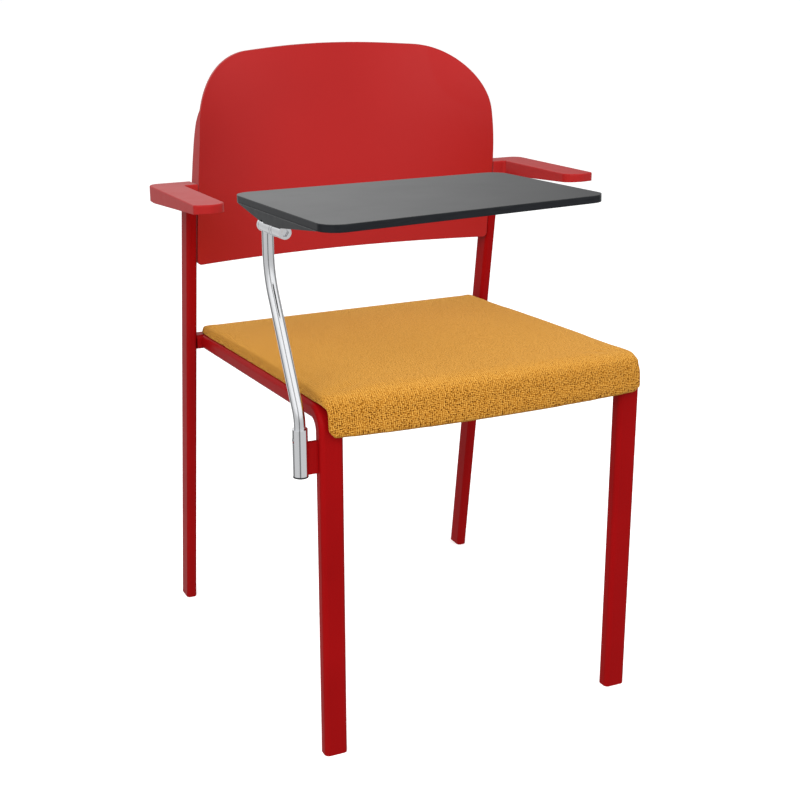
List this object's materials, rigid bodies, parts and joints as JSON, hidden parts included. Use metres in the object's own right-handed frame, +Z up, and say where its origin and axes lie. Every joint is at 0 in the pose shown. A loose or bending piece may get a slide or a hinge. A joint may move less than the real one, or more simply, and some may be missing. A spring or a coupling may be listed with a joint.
{
  "type": "tablet arm chair",
  "caption": "Conference chair with a tubular steel frame, padded fabric seat, curved back shell, short armrests and a writing tablet on a swivelling, folding arm.",
  "frame": {"origin": "on the floor, in the middle of the footprint of the whole chair", "axes": "+Z up, the sitter faces -Y, +X to the sitter's left; the tablet arm is on the -X side"},
  "size_m": [0.578, 0.6266, 0.8308],
  "materials": {
    "frame_paint": "gloss",
    "foot_plastic": "matt",
    "chrome": "polished",
    "steel": "zinc plated",
    "black_plastic": "matt",
    "plywood": "raw",
    "foam": "open cell",
    "seat_fabric": "coarse weave",
    "shell_plastic": "satin",
    "tablet_board": "matt",
    "tablet_top": "fine grain"
  },
  "bodies": {
    "chair": {"side_frame_right": "frame_paint", "side_frame_left": "frame_paint", "rear_leg_right": "frame_paint", "rear_leg_left": "frame_paint", "front_cross_rail": "frame_paint", "rear_cross_rail": "frame_paint", "socket_bracket": "frame_paint", "front_foot_right": "foot_plastic", "front_foot_left": "foot_plastic", "rear_foot_right": "foot_plastic", "rear_foot_left": "foot_plastic", "socket_tube": "chrome", "seat_screws": "steel", "seat_nuts": "steel", "back_screws": "steel", "socket_plug": "black_plastic", "seat_board": "plywood", "seat_foam": "foam", "seat_cover": "seat_fabric", "back_shell": "shell_plastic", "armrest_right": "shell_plastic", "armrest_left": "shell_plastic"},
    "tablet_arm": {"arm_tube": "chrome", "hinge_barrel": "chrome", "arm_stop_pin": "chrome", "arm_plug": "black_plastic"},
    "tablet": {"tablet_core": "tablet_board", "tablet_laminate": "tablet_top", "hinge_support": "black_plastic", "hinge_lug_front": "steel", "hinge_lug_rear": "steel", "hinge_axle": "steel", "hinge_cap": "chrome", "hinge_nut": "chrome", "hinge_washers": "black_plastic", "support_screws": "steel"}
  },
  "joints": [
    {"name": "arm_swivel", "type": "hinge", "parent": "chair", "child": "tablet_arm", "pos_m": [-0.2425, -0.215, 0.4], "axis": [0, 0, 1], "range_deg": [-90, 30]},
    {"name": "tablet_fold", "type": "hinge", "parent": "tablet_arm", "child": "tablet", "pos_m": [-0.2425, -0.125, 0.6598], "axis": [0, -0.999, 0.045], "range_deg": [0, 90]}
  ]
}
